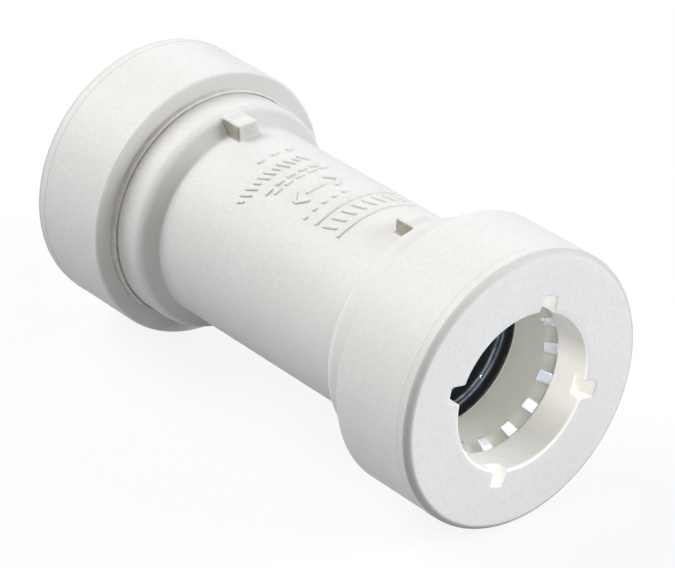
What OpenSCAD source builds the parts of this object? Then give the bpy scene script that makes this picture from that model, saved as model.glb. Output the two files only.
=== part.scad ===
// Straight push-to-connect coupling for plumbing tube of copper tube size.
// The bore runs along X and the origin is at the middle of the coupling, on its axis.
// Every sleeve, ring and cap is drawn once, as seen from the mouth: local Z is the depth
// below the outer face of the cap, and local X points to the row's +Z.

/* [Tube and bore] */
// Outside diameter of the tube that the fitting takes
tube_od = 22.2; // [22.1:0.1:22.4]
// Clearance around the tube in the mouth and in the body's sockets
tube_clearance = 0.3; // [0.2:0.05:0.4]
// Diameter of the waterway through the tube stop
waterway_d = 19; // [15:0.5:20.5]
// Width of the tube stop at the middle of the body
stop_width = 6; // [2:0.5:9]

/* [Overall] */
// Length over the outer faces of both caps
total_length = 82.5; // [80:0.5:90]

/* [Body] */
// Outside diameter of the body between its shoulders
neck_od = 29.3; // [28.6:0.1:30]
// Outside diameter of the shoulders and of the spigots inside the caps
shoulder_od = 34.4; // [34:0.1:35]
// Distance from the middle of the body to the foot of each shoulder
shoulder_foot = 19.1; // [16:0.1:19.5]
// Lean of a shoulder's wall, away from square to the axis, in degrees
shoulder_lean = 35; // [10:1:45]
// Radius of the rounded corner at the top of a shoulder
crest_blend = 1.9; // [0.4:0.1:2.2]
// Radius of the hollow at the foot of a shoulder
foot_blend = 0.3; // [0.1:0.1:0.5]
// Width of a lug at its root, across the axis
lug_width = 3.9; // [2.5:0.1:5]
// Height of the flat top of a lug above the axis
lug_height = 16.9; // [16:0.1:17]
// Distance that a lug stands out from the foot of its shoulder
lug_reach = 2; // [1:0.1:4]

/* [End caps] */
// Outside diameter of a cap
cap_od = 40.5; // [40:0.1:42]
// Length of a cap
cap_length = 14.6; // [13.5:0.1:15.5]
// Depth of the throat, down to the seat of the grip ring
throat_depth = 6; // [5.5:0.1:6.5]
// Radius of the rounded outer rim
rim_radius = 1.05; // [0.5:0.05:1.5]
// Number of wrench notches around the mouth
notch_count = 4; // [2:1:6]
// Depth of a notch below the face
notch_depth = 2.1; // [1:0.1:3]
// Distance from the axis to the far end of a notch
notch_reach = 13.75; // [13:0.05:14.5]
// Width of a notch where it opens into the mouth
notch_width = 2.85; // [2:0.05:3.5]
// Width of a notch at its far end
notch_end_width = 2.3; // [1.6:0.05:2.6]
// Turn of the +X cap's notches away from the lugs, in degrees
right_cap_turn = 19; // [0:1:89]
// Turn of the -X cap's notches away from the lugs, in degrees
left_cap_turn = 49; // [0:1:89]

/* [Grip rings] */
// Number of teeth on a grip ring
tooth_count = 16; // [12:1:18]
// Width of a tooth
tooth_width = 1.65; // [1.2:0.05:2]
// Thickness of the spring steel
steel = 0.4; // [0.3:0.05:0.5]
// How far the tips of the teeth reach inside the tube's outside diameter
tooth_bite = 0.5; // [0.2:0.05:0.7]
// Lean of a tooth away from the axis, in degrees
tooth_lean = 35; // [25:1:45]

/* [Guide sleeves] */
// Bore of a guide sleeve
sleeve_bore_d = 23.5; // [23:0.1:24]
// Outside diameter of a guide sleeve below its flange
sleeve_od = 28; // [27.6:0.1:28.2]
// Outside diameter of its flange
flange_od = 31; // [30.4:0.1:31.2]
// Thickness of its flange
flange_thickness = 1.5; // [1:0.1:2.5]

/* [O-rings] */
// Thickness of an O-ring's cord
cord_d = 3.5; // [3.2:0.1:3.7]

/* [Hidden] */
$fn = 96;

over = 1;               // how far a cutting shape runs past what it cuts
half_length = total_length / 2;
mouth_r = tube_od / 2 + tube_clearance;
tip_r = tube_od / 2 - tooth_bite;
lug_draft = 0.55;       // how far the +Y side of a lug leans in at its top
lug_root = 2.6;         // how far a lug runs back into its shoulder
mouth_edge = 0.4;       // rounding of the mouth's outer edge
throat_edge = 0.3;      // rounding where the throat ends above the grip ring
cap_back_edge = 0.35;   // rounding of the cap's back corner
weld_gap = 0.05;        // clearance between a body spigot and the cap around it
lip_width = 0.45;       // thickness of the lip that the weld squeezes out behind a cap
lip_length = 0.95;      // how far the lip stands behind the cap
parting_depth = 2.1;    // depth below the face of the mould's parting line
parting_height = 0.05;  // how far the parting line stands proud
seat_depth = 6.9;       // depth of the front of the guide sleeve
gland_depth = 15.2;     // depth at which the O-ring's gland begins
ring_play = 1.05;       // slack between a guide sleeve's tail and the O-ring
gland_length = cord_d + ring_play + 0.1;
gland_d = 28.2;         // bore of the gland, and of the body around a guide sleeve
counterbore_d = 31.4;   // bore around the flange and the grip ring
lead_in = 0.8;          // chamfer from the gland down to the tube socket
ring_od = 31;           // outside diameter of a grip ring
ring_hole_d = 25.2;     // inside diameter of its flat band, between the teeth
ring_depth = 6.15;      // depth of the flat band's outer face

ivory = "#e9e6de";
sleeve_grey = "#b9b8aa";
spring_steel = "#d6dae0";
seal_black = "#16171a";

// ---- placing a piece at an end ----

// Depth below a cap's outer face, turned to run in from the +X or the -X end.
module from_mouth(end) {
    rotate([0, 0, end == "right" ? 0 : 180])
        translate([half_length, 0, 0])
            rotate([0, -90, 0])
                children();
}

// A ring's section between two radii, from one depth to another.
module band(inner_r, outer_r, from, to) {
    translate([inner_r, from])
        square([outer_r - inner_r, to - from]);
}

// ---- body ----

// Section of one shoulder with the spigot behind it, drawn as radius over distance from the middle.
module shoulder_section() {
    crest = shoulder_od / 2;
    neck = neck_od / 2;
    foot_r = neck + foot_blend * (1 - sin(shoulder_lean));
    foot_x = shoulder_foot + foot_blend * cos(shoulder_lean);
    top_r = crest - crest_blend * (1 - sin(shoulder_lean));
    top_x = foot_x + (top_r - foot_r) * tan(shoulder_lean);
    crest_x = top_x + crest_blend * cos(shoulder_lean);
    difference() {
        polygon([[mouth_r, shoulder_foot], [foot_r, shoulder_foot], [foot_r, foot_x],
            [top_r, top_x], [top_r, crest_x], [mouth_r, crest_x]]);
        translate([neck + foot_blend, shoulder_foot])
            circle(foot_blend);
    }
    translate([crest - crest_blend, crest_x])
        circle(crest_blend);
    translate([mouth_r, crest_x])
        square([crest - mouth_r, half_length - throat_depth - crest_x]);
}

// What the bore takes out of one half of the body, as radius over distance from the middle.
module half_bore_section() {
    gland_floor = half_length - gland_depth - gland_length;
    band(0, waterway_d / 2, -over, half_length);
    band(0, mouth_r, stop_width / 2, half_length);
    band(0, gland_d / 2, gland_floor, half_length);
    band(0, counterbore_d / 2, half_length - seat_depth - flange_thickness, half_length);
    polygon([[0, gland_floor + over], [mouth_r + lead_in, gland_floor + over],
        [mouth_r + lead_in, gland_floor], [mouth_r, gland_floor - lead_in], [0, gland_floor - lead_in]]);
}

// The +X end's lug: a block on the foot of the shoulder, clear of the cap, drafted on its +Y side.
module lug() {
    back = shoulder_foot + lug_root;
    front = shoulder_foot - lug_reach;
    root = neck_od / 2 - 1;
    side = lug_width / 2;
    translate([front, 0, 0])
        rotate([90, 0, 90])
            linear_extrude(back - front)
                polygon([[-side, root], [side, root], [side - lug_draft, lug_height], [-side, lug_height]]);
}

module body() {
    color(ivory)
        difference() {
            for (side = [0, 1])
                mirror([side, 0, 0]) {
                    rotate([0, 90, 0])
                        rotate_extrude() {
                            band(waterway_d / 2 - over, neck_od / 2, 0, shoulder_foot + over);
                            shoulder_section();
                        }
                    lug();
                }
            for (side = [0, 1])
                mirror([side, 0, 0])
                    rotate([0, 90, 0])
                        rotate_extrude()
                            half_bore_section();
        }
}

// ---- end caps ----

// Solid of revolution of a cap, with its rounded rim, its throat and the lip of its weld.
module cap_turning() {
    outer = cap_od / 2;
    bore = shoulder_od / 2 + weld_gap;
    rotate_extrude() {
        difference() {
            band(mouth_r, outer, 0, cap_length);
            band(mouth_r - over, bore, throat_depth, cap_length + over);
            band(outer - rim_radius, outer + over, -over, rim_radius);
            band(outer - cap_back_edge, outer + over, cap_length - cap_back_edge, cap_length + over);
            band(mouth_r - over, mouth_r + mouth_edge, -over, mouth_edge);
            band(mouth_r - over, mouth_r + throat_edge, throat_depth - throat_edge, throat_depth + over);
        }
        translate([outer - rim_radius, rim_radius])
            circle(rim_radius);
        translate([outer - cap_back_edge, cap_length - cap_back_edge])
            circle(cap_back_edge);
        translate([mouth_r + mouth_edge, mouth_edge])
            circle(mouth_edge);
        translate([mouth_r + throat_edge, throat_depth - throat_edge])
            circle(throat_edge);
        band(bore, bore + lip_width, cap_length - over, cap_length + lip_length - lip_width / 2);
        translate([bore + lip_width / 2, cap_length + lip_length - lip_width / 2])
            circle(lip_width / 2);
        translate([outer - parting_height, parting_depth])
            circle(2 * parting_height);
    }
}

// Outline of one notch, pointing along X, with round corners at its far end.
module notch_outline() {
    corner = 0.45;
    end_half = notch_end_width / 2;
    polygon([[mouth_r - over, -notch_width / 2], [notch_reach - corner, -end_half],
        [notch_reach - corner, end_half], [mouth_r - over, notch_width / 2]]);
    translate([notch_reach - corner - over / 2, corner - end_half])
        square([corner + over / 2, notch_end_width - 2 * corner]);
    for (side = [-1, 1])
        translate([notch_reach - corner, side * (end_half - corner)])
            circle(corner);
}

module end_cap(end, turn) {
    color(ivory)
        from_mouth(end)
            difference() {
                cap_turning();
                for (i = [0 : notch_count - 1])
                    rotate([0, 0, turn + i * 360 / notch_count])
                        translate([0, 0, -over])
                            linear_extrude(notch_depth + over)
                                notch_outline();
            }
}

// ---- guide sleeves ----

// Bears on the counterbore's floor and holds the O-ring down; its cone leaves room for the teeth.
module guide_sleeve(end) {
    bore = sleeve_bore_d / 2;
    cone = 1.6;
    tail_edge = 0.4;
    gap = 0.02;
    color(sleeve_grey)
        from_mouth(end)
            rotate_extrude() {
                difference() {
                    union() {
                        band(bore, sleeve_od / 2, seat_depth, gland_depth - gap);
                        band(bore, flange_od / 2, seat_depth, seat_depth + flange_thickness);
                    }
                    polygon([[bore - over, seat_depth - over], [bore + cone + over, seat_depth - over],
                        [bore - over, seat_depth + cone + over]]);
                    band(bore - over, bore + tail_edge, gland_depth - gap - tail_edge, gland_depth);
                }
                translate([bore + tail_edge, gland_depth - gap - tail_edge])
                    circle(tail_edge);
            }
}

// ---- grip rings ----

// One tooth: a flat root in the band's plane and a blade that leans in and down the bore.
module tooth() {
    blade_top_r = tip_r + 0.95;
    blade = (blade_top_r - tip_r) / sin(tooth_lean);
    translate([blade_top_r - steel / 2, -tooth_width / 2, ring_depth])
        cube([ring_hole_d / 2 - blade_top_r + steel, tooth_width, steel]);
    translate([blade_top_r, -tooth_width / 2, ring_depth])
        rotate([0, -tooth_lean, 0])
            cube([steel, tooth_width, blade]);
}

module grip_ring(end) {
    tooth_turn = 2.5;
    color(spring_steel)
        from_mouth(end) {
            rotate_extrude()
                band(ring_hole_d / 2, ring_od / 2, ring_depth, ring_depth + steel);
            for (i = [0 : tooth_count - 1])
                rotate([0, 0, tooth_turn + i * 360 / tooth_count])
                    tooth();
        }
}

// ---- O-rings ----

module o_ring(end) {
    squeeze = 0.03;
    color(seal_black)
        from_mouth(end)
            rotate_extrude()
                translate([gland_d / 2 - squeeze - cord_d / 2, gland_depth + ring_play + cord_d / 2 + squeeze])
                    circle(cord_d / 2);
}

body();
end_cap("right", right_cap_turn);  // end_cap_right
end_cap("left", left_cap_turn);  // end_cap_left
guide_sleeve("right");  // guide_sleeve_right
guide_sleeve("left");  // guide_sleeve_left
grip_ring("right");  // grip_ring_right
grip_ring("left");  // grip_ring_left
o_ring("right");  // o_ring_right
o_ring("left");  // o_ring_left
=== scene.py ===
import math

import bmesh
import bpy
import numpy as np
from mathutils import Matrix, Vector, noise


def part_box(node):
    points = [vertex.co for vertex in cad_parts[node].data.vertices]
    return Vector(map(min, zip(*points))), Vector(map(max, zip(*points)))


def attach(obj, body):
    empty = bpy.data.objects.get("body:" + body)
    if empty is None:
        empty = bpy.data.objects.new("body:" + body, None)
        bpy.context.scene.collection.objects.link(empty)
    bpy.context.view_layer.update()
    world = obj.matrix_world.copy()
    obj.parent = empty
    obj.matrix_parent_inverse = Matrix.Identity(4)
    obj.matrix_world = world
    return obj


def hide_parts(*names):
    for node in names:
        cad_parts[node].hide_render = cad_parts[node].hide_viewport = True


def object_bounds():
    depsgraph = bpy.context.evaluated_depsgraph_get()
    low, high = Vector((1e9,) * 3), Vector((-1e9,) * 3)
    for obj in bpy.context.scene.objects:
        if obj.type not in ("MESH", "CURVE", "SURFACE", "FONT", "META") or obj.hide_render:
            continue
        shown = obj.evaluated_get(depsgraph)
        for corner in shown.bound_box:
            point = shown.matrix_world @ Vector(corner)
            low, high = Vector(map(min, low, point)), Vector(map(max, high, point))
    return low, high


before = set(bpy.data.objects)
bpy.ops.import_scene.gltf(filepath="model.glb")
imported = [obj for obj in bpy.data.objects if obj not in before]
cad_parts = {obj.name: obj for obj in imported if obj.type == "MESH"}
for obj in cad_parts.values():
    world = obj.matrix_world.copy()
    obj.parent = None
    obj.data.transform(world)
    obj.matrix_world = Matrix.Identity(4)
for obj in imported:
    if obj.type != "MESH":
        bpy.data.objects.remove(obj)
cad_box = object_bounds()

# Looks of a straight push-to-connect coupling. The tube axis is X, and lengths are in millimetres
# until a mesh is made. A point around the axis is (x, r sin a, r cos a), so angle 0 is the top,
# where the lugs are, and -90 degrees faces the camera's side. Parts of an end are drawn as seen
# from its mouth: "depth" is measured in from the cap's outer face.

MM = 0.001
ENDS = ("right", "left")

# ---- sizes read from the frame ----


def high_corner(node):
    """Highest corner of a CAD node, in millimetres."""
    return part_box(node)[1] / MM


def low_corner(node):
    """Lowest corner of a CAD node, in millimetres."""
    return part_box(node)[0] / MM


HALF_LENGTH = high_corner("end_cap_right").x
LIP_END = HALF_LENGTH - low_corner("end_cap_right").x
BODY_END = high_corner("body").x
CREST_R = high_corner("body").z
SEAT_DEPTH = HALF_LENGTH - BODY_END
RING_OUTER_R = high_corner("grip_ring_right").z
RING_DEPTH = HALF_LENGTH - high_corner("grip_ring_right").x
FLANGE_R = high_corner("guide_sleeve_right").z
SLEEVE_FRONT = HALF_LENGTH - high_corner("guide_sleeve_right").x
SLEEVE_END = HALF_LENGTH - low_corner("guide_sleeve_right").x
O_RING_OUTER_R = high_corner("o_ring_right").z
O_RING_CORD_R = (high_corner("o_ring_right").x - low_corner("o_ring_right").x) / 2
O_RING_DEPTH = HALF_LENGTH - high_corner("o_ring_right").x + O_RING_CORD_R

# ---- end cap ----
RIDGE = 0.05
RIDGE_DEPTH = 2.1
CAP_R = high_corner("end_cap_right").z - RIDGE
CAP_LENGTH = 14.6
MOUTH_R = 11.4
RIM_RADIUS = 1.05
MOUTH_EDGE = 0.4
THROAT_EDGE = 0.3
BACK_EDGE = 0.35
CAP_BORE_R = CREST_R + 0.05
LIP_WIDTH = 0.45
NOTCHES = 4
NOTCH_DEPTH = 2.1
NOTCH_REACH = 13.75
NOTCH_HALF_WIDTH = 1.425
NOTCH_END_HALF_WIDTH = 1.15
NOTCH_TURN = {"right": 19, "left": 49}
NOTCH_EDGE = 0.15
NOTCH_CORNER = 0.3
THROAT_GLOW = 0.42
THROAT_LIT_DEPTH = 6.2
NOTCH_GLOW = 0.24
DIM_NOTCH_SHARE = 0.15
EDGE_GLOW = 0.25

# ---- body ----
NECK_R = 14.65
SHOULDER_FOOT = 19.1
SHOULDER_LEAN = 35
FOOT_BLEND = 0.3
CREST_BLEND = 1.9
LUG_SIDE = 1.95
LUG_DRAFT = 0.55
LUG_TOP = 16.9
LUG_FRONT = SHOULDER_FOOT - 2
LUG_FRONT_LEAN = 0.06
LUG_FOOT = 14.3
LUG_BACK = 20.4
LUG_ROUND = 0.28
LUG_FILLET = 0.3
WATERWAY_R = 9.5
STOP_HALF_WIDTH = 3
GLAND_R = 14.1
GLAND_DEPTH = 15.2
GLAND_LENGTH = 4.65
COUNTERBORE_R = 15.7
LEAD_IN = 0.8
MARK_HEIGHT = 0.25
MARK_WIDTH = 0.5
BOLD_MARK_WIDTH = 0.65
RIB_WIDTH = 0.6
RIB_PLACES = (6.3, 10.9)
RIB_ANGLE = 56

# ---- guide sleeve and grip ring ----
SLEEVE_BORE_R = 11.75
SLEEVE_R = 14
FLANGE = 1.5
SLEEVE_CONE = 1.6
SLEEVE_GLOW = 0.11
SLEEVE_EDGE_GLOW = 0.3
TAIL_EDGE = 0.4
TEETH = 16
TOOTH_TURN = 2.5
TOOTH_HALF_WIDTH = 0.825
STEEL = 0.4
RING_HOLE_R = 12.6
TIP_R = 10.6
TOOTH_LEAN = 35
TOOTH_BEND = 0.55
BEND_RISE = 0.42
BLADE_DROP = 0.95
BLADE_TRIM = 0.1
STEEL_EDGE = 0.06

# ---- O-ring ----
# Painted highlights on the O-rings: the angle round the cord and the strength of each streak.
HIGHLIGHT_STREAKS = ((33, 0.6), (52, 0.95))
HIGHLIGHT_STREAK_HALF_WIDTH = 0.07

# ---- meshes ----


def arc(centre, radius, start, end, steps):
    """Points (a, b) on a round corner; 0 degrees points along +a and 90 along +b."""
    points = []
    for i in range(steps + 1):
        angle = math.radians(start + (end - start) * i / steps)
        points.append((centre[0] + radius * math.cos(angle), centre[1] + radius * math.sin(angle)))
    return points


def between(start, end, steps):
    """Points from start to end, leaving out start."""
    return [tuple(a + (b - a) * i / steps for a, b in zip(start, end)) for i in range(1, steps + 1)]


def on_axis(x, radius, angle):
    """Point in metres at x along the tube axis, a radius from it and an angle in degrees from the top."""
    turn = math.radians(angle)
    return (x * MM, radius * math.sin(turn) * MM, radius * math.cos(turn) * MM)


def at_end(end):
    """Turns what is drawn at the +X end round to the named end."""
    return Matrix.Rotation(0 if end == "right" else math.pi, 4, "Z")


class Skin:
    """Collects vertices and faces, and joins vertices that fall on one place."""

    def __init__(self):
        self.points = []
        self.faces = []
        self.index = {}

    def vertex(self, point):
        key = tuple(round(c * 1e8) for c in point)
        if key not in self.index:
            self.index[key] = len(self.points)
            self.points.append(point)
        return self.index[key]

    def face(self, corners):
        loop = list(dict.fromkeys(self.vertex(p) for p in corners))
        if len(loop) > 2:
            self.faces.append(loop)

    def grid(self, rows, close_rows=False, close_columns=False):
        """Quads between rows of points; either direction may close on itself."""
        row_pairs = list(zip(rows, rows[1:])) + ([(rows[-1], rows[0])] if close_rows else [])
        for one, two in row_pairs:
            count = len(one)
            for j in range(count if close_columns else count - 1):
                k = (j + 1) % count
                self.face([one[j], one[k], two[k], two[j]])

    def make(self, name, end="right"):
        """A Blender object with outward faces, placed at the named end."""
        mesh = bpy.data.meshes.new(name)
        mesh.from_pydata(self.points, [], self.faces)
        mesh.transform(at_end(end))
        bm = bmesh.new()
        bm.from_mesh(mesh)
        bmesh.ops.recalc_face_normals(bm, faces=bm.faces)
        bm.to_mesh(mesh)
        bm.free()
        mesh.shade_smooth()
        piece = bpy.data.objects.new(name, mesh)
        bpy.context.scene.collection.objects.link(piece)
        return piece


def lathe(section, columns=192):
    """Closed ring of revolution from a closed section of (depth, radius) points."""
    skin = Skin()
    angles = [360 * j / columns for j in range(columns)]
    rows = [[on_axis(HALF_LENGTH - depth, radius, a) for a in angles] for depth, radius in section]
    skin.grid(rows, close_rows=True, close_columns=True)
    return skin


def weighted_normals(piece):
    modifier = piece.modifiers.new("weighted normals", "WEIGHTED_NORMAL")
    modifier.mode = "FACE_AREA"
    modifier.weight = 80


def finish_piece(piece, body, slot, material, *nodes):
    """Gives a piece its material and its body, and lets it stand for CAD nodes."""
    piece.data.materials.append(material)
    weighted_normals(piece)
    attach(piece, body)
    if nodes:
        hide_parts(*nodes)
    return piece


# ---- end caps ----


def notch_half_angle(radius):
    """Half the angle that a notch takes at a radius; rows beyond its ends keep the nearest angle."""
    place = min(max(radius, MOUTH_R), NOTCH_REACH)
    share = (place - MOUTH_R) / (NOTCH_REACH - MOUTH_R)
    half_width = NOTCH_HALF_WIDTH + (NOTCH_END_HALF_WIDTH - NOTCH_HALF_WIDTH) * share
    return math.degrees(math.asin(half_width / place))


def notch_outline_on_skin():
    """Up the throat from the notch's floor, over the mouth's edge and out across the face."""
    points = [(NOTCH_DEPTH, MOUTH_R)]
    points += between(points[0], (MOUTH_EDGE, MOUTH_R), 3)
    points += arc((MOUTH_EDGE, MOUTH_R + MOUTH_EDGE), MOUTH_EDGE, 270, 180, 4)[1:]
    points += between(points[-1], (0, NOTCH_REACH), 3)
    return points


def notch_outline_inside():
    """Out along the notch's floor and up its end wall, with as many points as the outline on the skin."""
    floor_end = (NOTCH_DEPTH, NOTCH_REACH)
    points = [(NOTCH_DEPTH, MOUTH_R)]
    points += between(points[0], floor_end, 6)
    points += between(floor_end, (0, NOTCH_REACH), 4)
    return points


def cap_rest_of_section():
    """The cap's section from a notch's end round the outside, weld lip and bore to the notch's floor."""
    lip_end = LIP_END - LIP_WIDTH / 2
    lip_mid = CAP_BORE_R + LIP_WIDTH / 2
    rim = CAP_R - RIM_RADIUS
    points = between((0, NOTCH_REACH), (0, rim), 6)
    points += arc((RIM_RADIUS, rim), RIM_RADIUS, 180, 90, 8)[1:]
    points += [(RIDGE_DEPTH - 2.5 * RIDGE, CAP_R), (RIDGE_DEPTH - RIDGE, CAP_R + 0.8 * RIDGE),
               (RIDGE_DEPTH, CAP_R + RIDGE), (RIDGE_DEPTH + RIDGE, CAP_R + 0.8 * RIDGE),
               (RIDGE_DEPTH + 2.5 * RIDGE, CAP_R)]
    points += between(points[-1], (CAP_LENGTH - BACK_EDGE, CAP_R), 8)
    points += arc((CAP_LENGTH - BACK_EDGE, CAP_R - BACK_EDGE), BACK_EDGE, 90, 0, 5)[1:]
    points += between(points[-1], (CAP_LENGTH, CAP_BORE_R + LIP_WIDTH + 0.1), 4)
    points += [(CAP_LENGTH + 0.03, CAP_BORE_R + LIP_WIDTH + 0.03), (CAP_LENGTH + 0.1, CAP_BORE_R + LIP_WIDTH)]
    points += between(points[-1], (lip_end, CAP_BORE_R + LIP_WIDTH), 3)
    points += arc((lip_end, lip_mid), LIP_WIDTH / 2, 90, -90, 6)[1:]
    points += between(points[-1], (SEAT_DEPTH, CAP_BORE_R), 6)
    points += between((SEAT_DEPTH, CAP_BORE_R), (SEAT_DEPTH, MOUTH_R + THROAT_EDGE), 5)
    points += arc((SEAT_DEPTH - THROAT_EDGE, MOUTH_R + THROAT_EDGE), THROAT_EDGE, 0, -90, 4)[1:]
    points += between(points[-1], (NOTCH_DEPTH, MOUTH_R), 5)[:-1]
    return points


def lip_wander(depth, radius, angle):
    """The weld's lip is uneven: it is longer and thinner in places."""
    out = min(max((depth - CAP_LENGTH) / (LIP_END - CAP_LENGTH), 0), 1)
    if out == 0:
        return depth, radius
    turn = math.radians(angle)
    slow = noise.noise(Vector((3 * math.sin(turn), 3 * math.cos(turn), 1.7)))
    quick = noise.noise(Vector((14 * math.sin(turn), 14 * math.cos(turn), 5.2)))
    thick = min(max((radius - CAP_BORE_R) / LIP_WIDTH, 0), 1)
    shorter = 0.10 + 0.10 * slow + 0.07 * quick
    thinner = max(0, 0.04 + 0.06 * slow + 0.06 * quick)
    return depth - out * shorter, radius - thick * thinner


def cap_row(depth, radius, notch_angle, shares, inside):
    """One row of points across a notch, or across the stretch between two notches."""
    half = notch_half_angle(radius)
    row = []
    for share in shares:
        if inside:
            angle = notch_angle + half * share
        else:
            angle = notch_angle + half + (360 / NOTCHES - 2 * half) * share
        d, r = lip_wander(depth, radius, angle)
        row.append(on_axis(HALF_LENGTH - d, r, angle))
    return row


def end_cap(end):
    """A closed cap: skin between the notches, skin through the notches, and the notches' side walls."""
    outline = notch_outline_on_skin()
    inside = notch_outline_inside()
    rest = cap_rest_of_section()
    wide = [i / 40 for i in range(41)]
    across = [-1, -0.5, 0, 0.5, 1]
    skin = Skin()
    for k in range(NOTCHES):
        angle = NOTCH_TURN[end] + k * 360 / NOTCHES
        skin.grid([cap_row(d, r, angle, wide, False) for d, r in outline + rest], close_rows=True)
        skin.grid([cap_row(d, r, angle, across, True) for d, r in inside + rest], close_rows=True)
        for side in (-1, 1):
            rows = [cap_row(*point, angle, [side], True) for point in outline]
            deep = [cap_row(*point, angle, [side], True) for point in inside]
            skin.grid([a + b for a, b in zip(rows, deep)])
    cap = skin.make("cap_" + end, end)
    round_notch_edges(cap)
    return cap


def round_notch_edges(cap):
    """Rounds every sharp edge of the notches a little, and their upright inner corners more."""
    bm = bmesh.new()
    bm.from_mesh(cap.data)
    weight = bm.edges.layers.float.new("bevel_weight_edge")
    for edge in bm.edges:
        middle = (edge.verts[0].co + edge.verts[1].co) / 2
        behind_notches = abs(middle.x) < (HALF_LENGTH - NOTCH_DEPTH - 0.1) * MM
        if behind_notches or edge.calc_face_angle() < math.radians(40):
            continue
        upright = abs((edge.verts[0].co - edge.verts[1].co).normalized().x) > 0.9
        far_out = math.hypot(middle.y, middle.z) > (NOTCH_REACH - 0.1) * MM
        if edge.calc_face_angle_signed() > 0:
            edge[weight] = NOTCH_EDGE / NOTCH_CORNER
        else:
            edge[weight] = 1 if upright and far_out else 0.4
    bm.to_mesh(cap.data)
    bm.free()
    modifier = cap.modifiers.new("round notch edges", "BEVEL")
    modifier.limit_method = "WEIGHT"
    modifier.width = NOTCH_CORNER * MM
    modifier.segments = 3
    modifier.use_clamp_overlap = False


# ---- body ----


def outer_radius(x):
    """Radius of the body's turned outside at a distance from the middle; works on arrays."""
    x = np.abs(x)
    lean = math.radians(SHOULDER_LEAN)
    foot_r = NECK_R + FOOT_BLEND * (1 - math.sin(lean))
    foot_x = SHOULDER_FOOT + FOOT_BLEND * math.cos(lean)
    top_r = CREST_R - CREST_BLEND * (1 - math.sin(lean))
    top_x = foot_x + (top_r - foot_r) * math.tan(lean)
    hollow = np.clip(x - SHOULDER_FOOT, 0, foot_x - SHOULDER_FOOT)
    low = NECK_R + FOOT_BLEND - np.sqrt(FOOT_BLEND**2 - hollow**2)
    wall = foot_r + (x - foot_x) / math.tan(lean)
    corner = np.clip(top_x + CREST_BLEND * math.cos(lean) - x, 0, CREST_BLEND)
    high = CREST_R - CREST_BLEND + np.sqrt(CREST_BLEND**2 - corner**2)
    return np.where(x < foot_x, low, np.where(x < top_x, wall, high))


def smooth_max(a, b, blend):
    """The larger of two distances, with a round blend where they cross."""
    h = np.maximum(blend - np.abs(a - b), 0) / blend
    return np.maximum(a, b) + h * h * blend / 4


def lug_field(x, y, z):
    """Rough distance outside a lug with rounded edges, below zero inside it. The lug ends inside the neck."""
    draft = LUG_DRAFT / (LUG_TOP - NECK_R + 1)
    top = z - LUG_TOP
    front = LUG_FRONT - x + LUG_FRONT_LEAN * (z - LUG_TOP)
    near = -y - LUG_SIDE
    far = (y - LUG_SIDE + draft * (z - NECK_R + 1)) / math.hypot(1, draft)
    sides = smooth_max(near, far, LUG_ROUND)
    upper = smooth_max(smooth_max(sides, front, LUG_ROUND), top, 1.5 * LUG_ROUND)
    return np.maximum(upper, NECK_R - 3 - z)


def body_field(x, radius, angle):
    """Rough distance outside the body with its lugs: below zero inside it."""
    turned = radius - outer_radius(x)
    turn = np.radians(angle)
    lug = lug_field(np.abs(x), radius * np.sin(turn), radius * np.cos(turn))
    return -smooth_max(-turned, -lug, LUG_FILLET)


def body_surface_radius(x, angle):
    """Radius at which a ray from the axis leaves the body, found by halving."""
    low = np.full(np.broadcast(x, angle).shape, NECK_R - 0.5)
    high = np.full(low.shape, CREST_R + 1.0)
    for _ in range(26):
        middle = (low + high) / 2
        outside = body_field(x, middle, angle) > 0
        high = np.where(outside, middle, high)
        low = np.where(outside, low, middle)
    return (low + high) / 2


def steps_along(*stops):
    """Places from stop to stop; each stop is (end, step), and the first is the start."""
    places = [stops[0][0]]
    for end, step in stops[1:]:
        count = max(1, round(abs(end - places[-1]) / step))
        start = places[-1]
        places += [start + (end - start) * i / count for i in range(1, count + 1)]
    return places


def bore_section():
    """The body's bore from its +X end to its -X end, as (x, radius)."""
    floor = HALF_LENGTH - GLAND_DEPTH - GLAND_LENGTH
    counterbore_floor = HALF_LENGTH - SLEEVE_FRONT - FLANGE
    half = [(BODY_END, COUNTERBORE_R), (counterbore_floor, COUNTERBORE_R), (counterbore_floor, GLAND_R),
            (floor, GLAND_R), (floor, MOUTH_R + LEAD_IN), (floor - LEAD_IN, MOUTH_R),
            (STOP_HALF_WIDTH, MOUTH_R), (STOP_HALF_WIDTH, WATERWAY_R)]
    whole = half + [(-x, r) for x, r in reversed(half)]
    points = [whole[0]]
    for point in whole[1:]:
        points += between(points[-1], point, 2)
    return points


def body_shell():
    """The body: a turned skin that swells into the two lugs, closed by its bore."""
    to_lug = steps_along((0, 1), (16, 1.6), (16.6, 0.1), (17.4, 0.04), (19.0, 0.12), (19.4, 0.04),
                         (22.2, 0.1), (23.2, 0.25), (26.6, 0.7))
    half = to_lug + steps_along((to_lug[-1], 1), (BODY_END, 2))[1:]
    places = [-x for x in reversed(half[1:])] + half
    quarter = steps_along((0, 1), (5, 0.7), (6.2, 0.3), (8.3, 0.12), (12, 0.6), (30, 1.8), (180, 2.5))
    angles = [-a for a in reversed(quarter[1:-1])] + quarter
    radius = body_surface_radius(np.array(places)[:, None], np.array(angles)[None, :])
    skin = Skin()
    outer = [[on_axis(x, r, a) for r, a in zip(row, angles)] for x, row in zip(places, radius)]
    inner = [[on_axis(x, r, a) for a in angles] for x, r in bore_section()]
    skin.grid(outer + inner, close_rows=True, close_columns=True)
    return skin.make("body_shell")


# ---- raised marks ----


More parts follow.
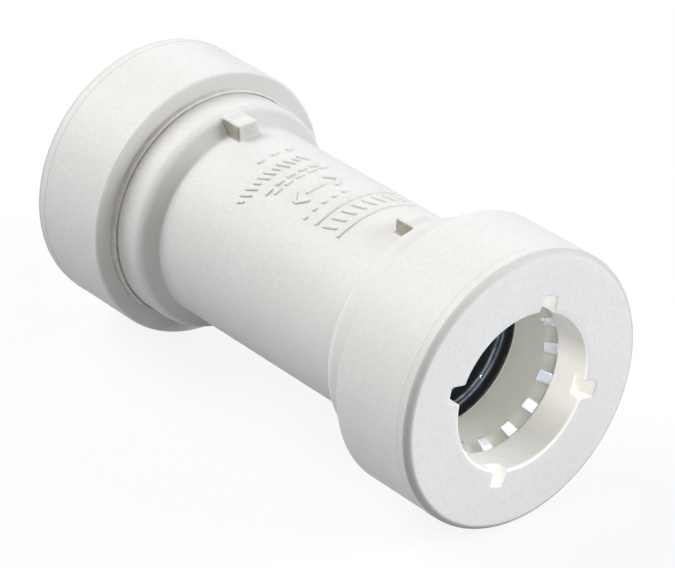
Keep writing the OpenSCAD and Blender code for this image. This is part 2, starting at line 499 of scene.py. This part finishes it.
def stroke_ring(length, width, inset, height, place, slant):
    """One closed ring of points round a stroke with round ends, on the neck at a height above it."""
    half = length / 2 - inset
    side = width / 2 - inset
    straight = half - side
    turns = [math.radians(90 - 22.5 * i) for i in range(5)]
    stations = [(-straight - side * math.sin(t), side * math.cos(t)) for t in turns]
    count = max(2, round(length / 0.8))
    stations += [(straight * (2 * i / count - 1), side) for i in range(1, count)]
    stations += [(straight + side * math.sin(t), side * math.cos(t)) for t in reversed(turns)]
    ring = stations + [(along, -across) for along, across in reversed(stations)]
    lean = math.radians(slant)
    points = []
    for along, across in ring:
        round_neck = along * math.cos(lean) - across * math.sin(lean)
        down_neck = along * math.sin(lean) + across * math.cos(lean)
        angle = place[1] + math.degrees(round_neck / NECK_R)
        points.append(on_axis(place[0] + down_neck, NECK_R + height, angle))
    return points


def raised_stroke(skin, place, length, width=MARK_WIDTH, slant=0):
    """A low moulded stroke at (x, angle); slant 0 runs round the neck and 90 runs along it."""
    levels = [(-0.07, -0.04), (-0.02, 0.03), (0.02, 0.6 * MARK_HEIGHT), (0.06, 0.9 * MARK_HEIGHT),
              (0.13, MARK_HEIGHT)]
    rings = [stroke_ring(length, width, inset, height, place, slant) for inset, height in levels]
    skin.grid(rings, close_columns=True)
    for ring in (rings[0], rings[-1]):
        half = len(ring) // 2
        skin.grid([ring[:half], ring[half:][::-1]])


def raised_marks():
    """Plain marks where the coupling has moulded text: dashes, ticks, a double arrow, dots and ribs."""
    skin = Skin()
    for i in range(3):
        raised_stroke(skin, (-10.6, -12 + 10 * i), 1.3)
    for i in range(11):
        raised_stroke(skin, (-7.4, -39 + 4.6 * i), 2.1 if i % 3 else 1.3, slant=65)
    for i in range(5):
        raised_stroke(skin, (-4.6, -26 + 8 * i), 1.5)
        raised_stroke(skin, (-3.5, -23 + 8 * i), 1.5)
    for angle, turn in ((-21, 1), (4, -1)):
        for lean in (-1, 1):
            raised_stroke(skin, (0.4 + 0.8 * lean, angle), 2.3, BOLD_MARK_WIDTH, slant=turn * lean * 45)
    raised_stroke(skin, (0.4, -8.5), 3.6, BOLD_MARK_WIDTH)
    for i in range(5):
        raised_stroke(skin, (4.0, -28 + 7 * i), 0.9, 0.6)
    for x in RIB_PLACES:
        raised_stroke(skin, (x, -1), math.radians(RIB_ANGLE) * NECK_R, RIB_WIDTH)
    for i in range(8):
        raised_stroke(skin, (8.6, -26 + 7 * i), 2.4, slant=70)
    return skin.make("raised_marks")


# ---- rings and sleeves ----


def guide_sleeve(end):
    """Flanged sleeve that centres the tube; its cone leaves room for the teeth."""
    tail = SLEEVE_END - TAIL_EDGE
    section = [(SLEEVE_FRONT + SLEEVE_CONE, SLEEVE_BORE_R)]
    section += between(section[0], (tail, SLEEVE_BORE_R), 6)
    section += arc((tail, SLEEVE_BORE_R + TAIL_EDGE), TAIL_EDGE, -90, 0, 6)[1:]
    section += between(section[-1], (SLEEVE_END, SLEEVE_R - 0.2), 2) + [(SLEEVE_END - 0.2, SLEEVE_R)]
    section += between(section[-1], (SLEEVE_FRONT + FLANGE, SLEEVE_R), 4)
    section += between(section[-1], (SLEEVE_FRONT + FLANGE, FLANGE_R), 2)
    section += between(section[-1], (SLEEVE_FRONT, FLANGE_R), 2)
    section += between(section[-1], (SLEEVE_FRONT, SLEEVE_BORE_R + SLEEVE_CONE), 3)
    section += between(section[-1], section[0], 3)[:-1]
    return lathe(section).make("sleeve_" + end, end)


def o_ring(end):
    """Round rubber ring in its gland."""
    centre = (O_RING_DEPTH, O_RING_OUTER_R - O_RING_CORD_R)
    return lathe(arc(centre, O_RING_CORD_R, 0, 360, 40)[:-1]).make("seal_" + end, end)


def tooth_path():
    """Middle line of a tooth, as (depth, radius), from the band's hole in to the tooth's tip."""
    lean = math.radians(TOOTH_LEAN)
    depth = RING_DEPTH + STEEL / 2
    blade = (BLADE_DROP / math.sin(lean)) - BLADE_TRIM
    centre = (depth + TOOTH_BEND, TIP_R + BLADE_DROP + BEND_RISE)
    bend = arc(centre, TOOTH_BEND, 180, 270 - TOOTH_LEAN, 5)
    start = bend[-1]
    tip = (start[0] + blade * math.cos(lean), start[1] - blade * math.sin(lean))
    return bend + between(start, tip, 4)


def grip_ring(end):
    """Spring-steel ring: a flat band with bent teeth, drawn as a sheet and given its thickness."""
    gap_columns = 6
    tooth_columns = 4
    step = 360 / TEETH
    root = math.degrees(math.asin(TOOTH_HALF_WIDTH / RING_HOLE_R))
    depth = RING_DEPTH + STEEL / 2
    angles = []
    for k in range(TEETH):
        middle = TOOTH_TURN + k * step
        angles += [middle - root + 2 * root * i / tooth_columns for i in range(tooth_columns)]
        angles += [middle + root + (step - 2 * root) * i / gap_columns for i in range(gap_columns)]
    radii = [RING_OUTER_R, 14.5, 13.5, RING_HOLE_R]
    skin = Skin()
    skin.grid([[on_axis(HALF_LENGTH - depth, r, a) for a in angles] for r in radii], close_columns=True)
    for k in range(TEETH):
        turn = TOOTH_TURN + k * step
        base = [on_axis(HALF_LENGTH - depth, RING_HOLE_R, turn - root + 2 * root * i / tooth_columns)
                for i in range(tooth_columns + 1)]
        rows = [base] + [tooth_row(d, r, turn, tooth_columns) for d, r in tooth_path()]
        skin.grid(rows)
    ring = skin.make("teeth_" + end, end)
    sheet = ring.modifiers.new("sheet thickness", "SOLIDIFY")
    sheet.thickness = STEEL * MM
    sheet.offset = 0
    sheet.use_even_offset = True
    edges = ring.modifiers.new("broken edges", "BEVEL")
    edges.width = STEEL_EDGE * MM
    edges.segments = 2
    edges.limit_method = "ANGLE"
    edges.angle_limit = math.radians(50)
    return ring


def tooth_row(depth, radius, turn, columns):
    """Points across a tooth, which keeps its width as it comes in towards the axis."""
    row = []
    for i in range(columns + 1):
        across = TOOTH_HALF_WIDTH * (2 * i / columns - 1)
        angle = turn + math.degrees(math.atan2(across, radius))
        row.append(on_axis(HALF_LENGTH - depth, math.hypot(radius, across), angle))
    return row


# ---- materials ----


def node_material(name):
    """New node material and its main shader."""
    material = bpy.data.materials.new(name)
    material.use_nodes = True
    return material, material.node_tree.nodes["Principled BSDF"]


def add(material, kind, **settings):
    """New shader node with its settings."""
    node = material.node_tree.nodes.new("ShaderNode" + kind)
    for key, value in settings.items():
        setattr(node, key, value)
    return node


def join(material, source, target):
    material.node_tree.links.new(source, target)


def object_noise(material, scale, detail=3, roughness=0.5, stretch=None):
    """Noise fixed to the piece, with a scale in features per metre."""
    place = add(material, "TexCoord").outputs["Object"]
    if stretch:
        mapping = add(material, "Mapping")
        mapping.inputs["Scale"].default_value = stretch
        join(material, place, mapping.inputs["Vector"])
        place = mapping.outputs["Vector"]
    texture = add(material, "TexNoise")
    texture.inputs["Scale"].default_value = scale
    texture.inputs["Detail"].default_value = detail
    texture.inputs["Roughness"].default_value = roughness
    join(material, place, texture.inputs["Vector"])
    return texture.outputs["Fac"]


def ramp(material, source, low, high, from_low=0.3, from_high=0.7):
    """Maps a value from one range to another, held at both ends."""
    node = add(material, "MapRange")
    node.inputs["From Min"].default_value = from_low
    node.inputs["From Max"].default_value = from_high
    node.inputs["To Min"].default_value = low
    node.inputs["To Max"].default_value = high
    join(material, source, node.inputs["Value"])
    return node.outputs["Result"]


def mix_colour(material, factor, first, second):
    """Mix of two colours, each an RGB tuple or a socket."""
    node = add(material, "Mix", data_type="RGBA")
    join(material, factor, node.inputs["Factor"])
    for key, value in (("A", first), ("B", second)):
        socket = next(s for s in node.inputs if s.name == key and s.type == "RGBA")
        if isinstance(value, tuple):
            socket.default_value = (*value, 1)
        else:
            join(material, value, socket)
    return next(s for s in node.outputs if s.type == "RGBA")


def bump(material, height, distance, strength=1.0, under=None):
    """Bump from a height between 0 and 1; distance is its real height in metres."""
    node = add(material, "Bump")
    node.inputs["Distance"].default_value = distance
    node.inputs["Strength"].default_value = strength
    join(material, height, node.inputs["Height"])
    if under:
        join(material, under, node.inputs["Normal"])
    return node.outputs["Normal"]


def calculate(material, operation, *values):
    """Result of a math node on numbers or sockets."""
    node = add(material, "Math", operation=operation)
    for socket, value in zip(node.inputs, values):
        if isinstance(value, (int, float)):
            socket.default_value = value
        else:
            join(material, value, socket)
    return node.outputs["Value"]


def place_on_axis(material):
    """Sockets, in metres: distance from the middle along the axis, distance from the axis, Y and height."""
    place = add(material, "TexCoord").outputs["Object"]
    parts = add(material, "SeparateXYZ")
    join(material, place, parts.inputs["Vector"])
    y, z = parts.outputs["Y"], parts.outputs["Z"]
    square = calculate(material, "ADD", both(material, y, y), both(material, z, z))
    along = calculate(material, "ABSOLUTE", parts.outputs["X"])
    return along, calculate(material, "SQRT", square), y, z


def band_mask(material, value, low, high, soft=0.1):
    """1 between low and high, falling to 0 over soft on both sides; lengths in millimetres."""
    away = calculate(material, "ABSOLUTE", calculate(material, "SUBTRACT", value, (low + high) / 2 * MM))
    half_width = (high - low) / 2
    return ramp(material, away, 1, 0, half_width * MM, (half_width + soft) * MM)


def both(material, *masks):
    """Product of masks."""
    product = masks[0]
    for mask in masks[1:]:
        product = calculate(material, "MULTIPLY", product, mask)
    return product


def tint(material, colour, mask, strength, shade):
    """Mixes a shade into a colour where the mask is 1, with a strength between 0 and 1."""
    return mix_colour(material, both(material, mask, strength), colour, shade)


def weld_stains(material, colour, place):
    """Browned plastic squeezed out of the weld, with a dark broken line on each side of its lip."""
    along, out, _, height = place
    root = HALF_LENGTH - CAP_LENGTH
    end = HALF_LENGTH - LIP_END
    lip_r = CAP_BORE_R + LIP_WIDTH
    # Both dark lines are darker towards the bottom.
    low_side = ramp(material, height, 1, 0.25, -8 * MM, 12 * MM)
    patches = ramp(material, object_noise(material, 700, 3, 0.7), 0.1, 1, 0.38, 0.58)
    lip = both(material, band_mask(material, along, end, root - 0.05),
               ramp(material, patches, 0.1, 0.45, 0, 1),
               band_mask(material, out, CAP_BORE_R - 0.1, lip_r + 0.1))
    colour = mix_colour(material, lip, colour, (0.66, 0.58, 0.44))
    outer_line = both(material, band_mask(material, along, root - 0.03, root + 0.05, 0.06), low_side, patches,
                      band_mask(material, out, lip_r - 0.05, lip_r + 0.06, 0.06))
    colour = tint(material, colour, outer_line, 0.35, (0.20, 0.14, 0.08))
    slow = ramp(material, object_noise(material, 90, 1), 0.55, 1, 0.4, 0.55)
    inner_line = both(material, band_mask(material, along, end - 0.06, end + 0.06, 0.06), low_side, slow,
                      band_mask(material, out, CREST_R - 0.1, CREST_R + 0.1, 0.06))
    return tint(material, colour, inner_line, 0.85, (0.10, 0.07, 0.035))


def shade_of_corners(material, colour, place):
    """Darker plastic that stands for shade on the shoulders' walls and the caps' backs, rims and ridges."""
    along, out, _, height = place
    root = HALF_LENGTH - CAP_LENGTH
    ridge_x = HALF_LENGTH - RIDGE_DEPTH
    wall = both(material, band_mask(material, along, SHOULDER_FOOT + 0.2, SHOULDER_FOOT + 1.3, 0.5),
                band_mask(material, out, NECK_R + 0.2, CREST_R - 0.5, 0.4))
    colour = tint(material, colour, wall, 0.9, (0.66, 0.665, 0.615))
    back = both(material, band_mask(material, along, root - 0.05, root + 0.1),
                band_mask(material, out, CAP_BORE_R + LIP_WIDTH, CAP_R - 0.4, 0.3),
                ramp(material, height, 0, 0.9, -19 * MM, -10 * MM))
    colour = mix_colour(material, back, colour, (0.70, 0.69, 0.655))
    rim = both(material, band_mask(material, along, HALF_LENGTH - 0.9, HALF_LENGTH - 0.12, 0.15),
               band_mask(material, out, CAP_R - 0.75, CAP_R, 0.25),
               ramp(material, height, 0.85, 0.35, -8 * MM, 18 * MM))
    colour = mix_colour(material, rim, colour, (0.42, 0.43, 0.385))
    ridge = both(material, band_mask(material, along, ridge_x - 0.1, ridge_x, 0.06),
                 band_mask(material, out, CAP_R, CAP_R + 0.2))
    return tint(material, colour, ridge, 0.3, (0.42, 0.41, 0.36))


def mark_foot_shade_and_dirt(material, colour, place):
    """Brown painted shade, partly dirt, round the feet of the moulded marks."""
    foot = band_mask(material, place[1], NECK_R - 0.1, NECK_R + 0.12)
    return tint(material, colour, foot, 0.5, (0.62, 0.56, 0.46))


def lug_painted_shade(material, colour, place):
    """Painted shade on the lugs' upright faces: those that look to the middle are greyish, and those that
    look to -Y are darker and brown.
    """
    along, _, aside, height = place
    upright = both(material, band_mask(material, height, LUG_FOOT, LUG_TOP - 0.35, 0.2),
                   ramp(material, object_noise(material, 500, 3), 0.55, 0.95))
    front = both(material, upright, band_mask(material, along, LUG_FRONT - 0.15, LUG_FRONT + 0.15),
                 band_mask(material, aside, -2.1, 1.95))
    colour = mix_colour(material, front, colour, (0.57, 0.565, 0.48))
    near_side = both(material, upright, band_mask(material, along, LUG_FRONT - 0.1, LUG_BACK, 0.4),
                     band_mask(material, aside, -2.1, -1.8))
    return mix_colour(material, near_side, colour, (0.36, 0.32, 0.23))


def light_through_cap(material, shader, place):
    """Weak warm glow that stands for light through the translucent cap; the notch on the -Y side is dim."""
    along, out, aside, height = place
    throat = both(material, band_mask(material, out, MOUTH_R - 0.5, MOUTH_R + 0.2, 0.2),
                  band_mask(material, along, HALF_LENGTH - THROAT_LIT_DEPTH, HALF_LENGTH - 0.3, 0.2),
                  ramp(material, band_mask(material, height, -6, -1, 4), 0.25, 1, 0, 1))
    shaded = both(material, band_mask(material, aside, -16, -8), band_mask(material, height, 0, 9))
    notch = both(material, band_mask(material, out, MOUTH_R + 0.2, NOTCH_REACH + 0.1, 0.2),
                 ramp(material, shaded, 1, DIM_NOTCH_SHARE, 0, 1),
                 band_mask(material, along, HALF_LENGTH - NOTCH_DEPTH - 0.1, HALF_LENGTH - 0.25, 0.2))
    # The thin glowing lines along the mouth's edge and the throat's inner edge are painted highlights.
    edges = calculate(material, "MAXIMUM",
                      band_mask(material, along, HALF_LENGTH - 0.28, HALF_LENGTH - 0.1),
                      band_mask(material, along, HALF_LENGTH - SEAT_DEPTH, HALF_LENGTH - SEAT_DEPTH + 0.15))
    edge = both(material, band_mask(material, out, MOUTH_R - 0.1, MOUTH_R + 0.3), edges)
    share = calculate(material, "ADD", both(material, throat, THROAT_GLOW), both(material, notch, NOTCH_GLOW))
    share = calculate(material, "ADD", share, both(material, edge, EDGE_GLOW))
    join(material, share, shader.inputs["Emission Strength"])
    shader.inputs["Emission Color"].default_value = (1.0, 0.95, 0.88, 1)


def moulded_plastic(name, roughness):
    """Matt ivory plastic: fine grain, faint mottling and specks, and brown painted shade, partly dirt, in its
    crevices.
    """
    light, dark = (0.91, 0.90, 0.87), (0.89, 0.88, 0.845)
    material, shader = node_material(name)
    mottle = ramp(material, object_noise(material, 60, 4), 0, 1)
    colour = mix_colour(material, mottle, light, dark)
    grain = ramp(material, object_noise(material, 1900, 2, 0.7), 0, 0.5)
    colour = mix_colour(material, grain, colour, tuple(0.87 * c for c in dark))
    specks = ramp(material, object_noise(material, 2600, 1), 0, 0.35, 0.62, 0.72)
    colour = mix_colour(material, specks, colour, tuple(0.86 * c for c in dark))
    # Brown darkening where ambient occlusion finds crevices: painted shade, partly dirt.
    crevice = add(material, "AmbientOcclusion", samples=8, only_local=True)
    crevice.inputs["Distance"].default_value = 0.5 * MM
    crevice_shade_and_dirt = ramp(material, crevice.outputs["AO"], 0.2, 0, 0.2, 0.7)
    colour = mix_colour(material, crevice_shade_and_dirt, colour, (0.42, 0.34, 0.22))
    place = place_on_axis(material)
    colour = shade_of_corners(material, colour, place)
    colour = weld_stains(material, colour, place)
    if name == "cap_plastic":
        light_through_cap(material, shader, place)
    if name == "body_plastic":
        colour = lug_painted_shade(material, colour, place)
    if name == "mark_plastic":
        colour = mark_foot_shade_and_dirt(material, colour, place)
    join(material, colour, shader.inputs["Base Color"])
    shader.inputs["IOR"].default_value = 1.5
    shader.inputs["Specular IOR Level"].default_value = 0.4
    shader.inputs["Subsurface Weight"].default_value = 0.15
    shader.inputs["Subsurface Radius"].default_value = (1.0, 0.85, 0.6)
    shader.inputs["Subsurface Scale"].default_value = 0.0012
    join(material, ramp(material, object_noise(material, 900, 2), roughness - 0.05, roughness + 0.07),
         shader.inputs["Roughness"])
    rough_skin = bump(material, object_noise(material, 2600, 2), 0.00003, 1.0)
    uneven_skin = bump(material, object_noise(material, 260, 2), 0.00006, 0.5, rough_skin)
    join(material, uneven_skin, shader.inputs["Normal"])
    return material


def sleeve_plastic():
    """Greyish plastic with faint rings from its mould; a weak glow stands for light that comes through it."""
    material, shader = node_material("sleeve_plastic")
    colour = mix_colour(material, ramp(material, object_noise(material, 90, 3), 0, 1),
                        (0.84, 0.835, 0.77), (0.80, 0.795, 0.725))
    join(material, colour, shader.inputs["Base Color"])
    join(material, colour, shader.inputs["Emission Color"])
    along, out, _, _ = place_on_axis(material)
    # The tail edge next to the O-ring glows more: a painted highlight along it.
    tail_x = HALF_LENGTH - SLEEVE_END
    tail = both(material, band_mask(material, along, tail_x + 0.08, tail_x + 0.34),
                band_mask(material, out, SLEEVE_BORE_R - 0.1, SLEEVE_BORE_R + 0.2))
    glow = ramp(material, tail, SLEEVE_GLOW, SLEEVE_EDGE_GLOW, 0, 1)
    join(material, glow, shader.inputs["Emission Strength"])
    join(material, ramp(material, object_noise(material, 700, 2), 0.42, 0.55), shader.inputs["Roughness"])
    rings = object_noise(material, 900, 2, 0.5, (6, 0.15, 0.15))
    join(material, bump(material, rings, 0.00001, 0.7), shader.inputs["Normal"])
    return material


def spring_steel():
    """Bright stainless strip with fine rolling lines."""
    material, shader = node_material("spring_steel")
    colour = mix_colour(material, ramp(material, object_noise(material, 1500, 2), 0, 1),
                        (0.86, 0.88, 0.91), (0.78, 0.80, 0.84))
    join(material, colour, shader.inputs["Base Color"])
    shader.inputs["Metallic"].default_value = 1
    join(material, ramp(material, object_noise(material, 3000, 2, 0.6, (1, 0.1, 1)), 0.22, 0.38),
         shader.inputs["Roughness"])
    join(material, bump(material, object_noise(material, 4000, 2), 0.000004, 0.6), shader.inputs["Normal"])
    return material


def seal_rubber():
    """Black rubber, wet with assembly grease; two pale streaks round the ring are painted highlights."""
    material, shader = node_material("seal_rubber")
    streaks = object_noise(material, 700, 4, 0.65, (2.2, 0.45, 0.45))
    colour = mix_colour(material, ramp(material, streaks, 0, 1),
                        (0.006, 0.0065, 0.008), (0.014, 0.015, 0.019))
    broken = ramp(material, object_noise(material, 500, 3, 0.7, (2.2, 0.45, 0.45)), 0.15, 1, 0.4, 0.6)
    along, out, _, height = place_on_axis(material)
    low_side = ramp(material, height, 1, 0.15, -2 * MM, 9 * MM)
    # Two pale broken streaks along the cord, strongest low down: painted highlights.
    for angle, strength in HIGHLIGHT_STREAKS:
        turn = math.radians(angle)
        line_x = HALF_LENGTH - O_RING_DEPTH + O_RING_CORD_R * math.cos(turn)
        line_r = O_RING_OUTER_R - O_RING_CORD_R - O_RING_CORD_R * math.sin(turn)
        line = both(material,
                    band_mask(material, along, line_x - HIGHLIGHT_STREAK_HALF_WIDTH, line_x + HIGHLIGHT_STREAK_HALF_WIDTH),
                    broken, low_side,
                    band_mask(material, out, line_r - HIGHLIGHT_STREAK_HALF_WIDTH, line_r + HIGHLIGHT_STREAK_HALF_WIDTH))
        colour = tint(material, colour, line, strength, (0.62, 0.72, 0.86))
    join(material, colour, shader.inputs["Base Color"])
    join(material, ramp(material, streaks, 0.45, 0.65), shader.inputs["Roughness"])
    shader.inputs["Specular IOR Level"].default_value = 0.25
    shader.inputs["Coat Weight"].default_value = 0.9
    shader.inputs["Coat Roughness"].default_value = 0.07
    shader.inputs["Coat Tint"].default_value = (0.8, 0.88, 1.0, 1)
    join(material, bump(material, streaks, 0.00008, 0.7), shader.inputs["Normal"])
    return material


# ---- camera, floor and light ----


def make_camera():
    """Long lens, a little above and to the +X side of the -Y direction."""
    azimuth = math.radians(50.63)
    elevation = math.radians(29.66)
    distance = 520.4 * MM
    aside = -1.52 * MM
    above = 1.46 * MM
    back = Vector((math.sin(azimuth) * math.cos(elevation), -math.cos(azimuth) * math.cos(elevation),
                   math.sin(elevation)))
    right = Vector((math.cos(azimuth), math.sin(azimuth), 0))
    up = back.cross(right)
    data = bpy.data.cameras.new("camera")
    data.sensor_width = 36
    data.lens = 199.07
    data.clip_start = 0.01
    data.clip_end = 50
    camera = bpy.data.objects.new("camera", data)
    bpy.context.scene.collection.objects.link(camera)
    turn = Matrix((right, up, back)).transposed().to_4x4()
    camera.matrix_world = Matrix.Translation(back * distance - right * aside - up * above) @ turn
    bpy.context.scene.camera = camera


def make_floor(height):
    """Plain pale floor just under the coupling, which glows faintly, and more where it is seen directly."""
    skin = Skin()
    size = 3
    skin.face([(-size, -size, height), (size, -size, height), (size, size, height), (-size, size, height)])
    floor = skin.make("floor")
    material, shader = node_material("white_floor")
    colour = mix_colour(material, object_noise(material, 3, 2), (0.51, 0.53, 0.57), (0.53, 0.55, 0.59))
    join(material, colour, shader.inputs["Base Color"])
    shader.inputs["Roughness"].default_value = 0.9
    shader.inputs["Specular IOR Level"].default_value = 0.1
    glow = add(material, "Emission")
    glow.inputs["Strength"].default_value = 1.15
    lit = add(material, "MixShader")
    share = ramp(material, add(material, "LightPath").outputs["Is Camera Ray"], 0.05, 0.75, 0, 1)
    join(material, share, lit.inputs["Fac"])
    join(material, shader.outputs["BSDF"], lit.inputs[1])
    join(material, glow.outputs["Emission"], lit.inputs[2])
    join(material, lit.outputs["Shader"], material.node_tree.nodes["Material Output"].inputs["Surface"])
    floor.data.materials.append(material)


def from_middle(azimuth, elevation, distance):
    """Place at a distance from the origin; azimuth 0 is -Y, 90 is +X and -90 is -X, in degrees."""
    turn = math.radians(azimuth)
    rise = math.radians(elevation)
    flat = math.cos(rise)
    return Vector((math.sin(turn) * flat, -math.cos(turn) * flat, math.sin(rise))) * distance


def place_lamp(name, kind, place, aim, watts, colour):
    """Lamp that points at a place; returns its data."""
    data = bpy.data.lights.new(name, kind)
    data.energy = watts
    data.color = colour
    lamp = bpy.data.objects.new(name, data)
    bpy.context.scene.collection.objects.link(lamp)
    lamp.location = place
    lamp.rotation_mode = "QUATERNION"
    lamp.rotation_quaternion = (aim - place).to_track_quat("-Z", "Y")
    return data


def soft_box(name, azimuth, elevation, watts, colour):
    """Square studio lamp a metre away, which points at the middle of the coupling."""
    data = place_lamp(name, "AREA", from_middle(azimuth, elevation, 1.0), Vector((0, 0, 0)), watts, colour)
    data.shape = "SQUARE"
    data.size = 0.6


def surroundings(name, colour, strength):
    """Background shader of one colour in the world's tree."""
    node = bpy.context.scene.world.node_tree.nodes.new("ShaderNodeBackground")
    node.label = name
    node.inputs["Color"].default_value = (*colour, 1)
    node.inputs["Strength"].default_value = strength
    return node


def make_world():
    """Dim room that is brighter in reflections, and looks white where the floor ends."""
    scene = bpy.context.scene
    scene.world = bpy.data.worlds.new("studio")
    scene.world.use_nodes = True
    nodes = scene.world.node_tree.nodes
    links = scene.world.node_tree.links
    nodes.remove(nodes["Background"])
    path = nodes.new("ShaderNodeLightPath")
    last = surroundings("room", (0.95, 0.97, 1.0), 0.06)
    for ray, other in (("Is Glossy Ray", surroundings("in reflections", (0.80, 0.90, 1.0), 0.9)),
                       ("Is Camera Ray", surroundings("seen directly", (1, 1, 1), 1))):
        mix = nodes.new("ShaderNodeMixShader")
        links.new(path.outputs[ray], mix.inputs["Fac"])
        links.new(last.outputs[0], mix.inputs[1])
        links.new(other.outputs[0], mix.inputs[2])
        last = mix
    links.new(last.outputs[0], nodes["World Output"].inputs["Surface"])


def mouth_lamp(watts, colour):
    """Narrow lamp that looks into the +X mouth from the camera's side."""
    mouth = Vector((HALF_LENGTH * MM, 0, 0))
    data = place_lamp("mouth_lamp", "SPOT", mouth + from_middle(60, 35, 0.7), mouth, watts, colour)
    data.spot_size = math.radians(1.9)
    data.spot_blend = 0.6
    data.shadow_soft_size = 0.03


def make_light():
    """Soft boxes all round, the weakest beside the camera, and a narrow lamp that looks into the mouth."""
    soft_box("front_left", -45, 38, 3.8, (1.0, 0.98, 0.98))
    soft_box("left", -68, 50, 4.6, (1.0, 1.0, 1.0))
    soft_box("back_left", -120, 30, 1.1, (1.0, 0.95, 1.0))
    soft_box("back_right", 132, 22, 7.5, (0.90, 0.93, 1.0))
    soft_box("over_mouth", 105, 62, 1.3, (1.0, 0.97, 0.93))
    soft_box("front_right", 62, 32, 0.8, (1.0, 0.98, 0.88))
    mouth_lamp(14, (1.0, 0.98, 0.94))
    bpy.context.scene.view_settings.view_transform = "Standard"


# ---- the whole model ----

make_camera()

body_plastic = moulded_plastic("body_plastic", 0.46)
mark_plastic = moulded_plastic("mark_plastic", 0.46)
cap_plastic = moulded_plastic("cap_plastic", 0.44)
sleeve_finish = sleeve_plastic()
steel_finish = spring_steel()
rubber_finish = seal_rubber()

finish_piece(body_shell(), "housing", "body_plastic", body_plastic, "body")
finish_piece(raised_marks(), "housing", "body_plastic", mark_plastic)
for side in ENDS:
    finish_piece(end_cap(side), "housing", "cap_plastic", cap_plastic, "end_cap_" + side)
    finish_piece(guide_sleeve(side), "housing", "sleeve_plastic", sleeve_finish, "guide_sleeve_" + side)
    finish_piece(o_ring(side), "housing", "seal_rubber", rubber_finish, "o_ring_" + side)
    finish_piece(grip_ring(side), side + "_grip", "spring_steel", steel_finish, "grip_ring_" + side)

make_floor(cad_box[0].z - 0.00005)
make_world()
make_light()
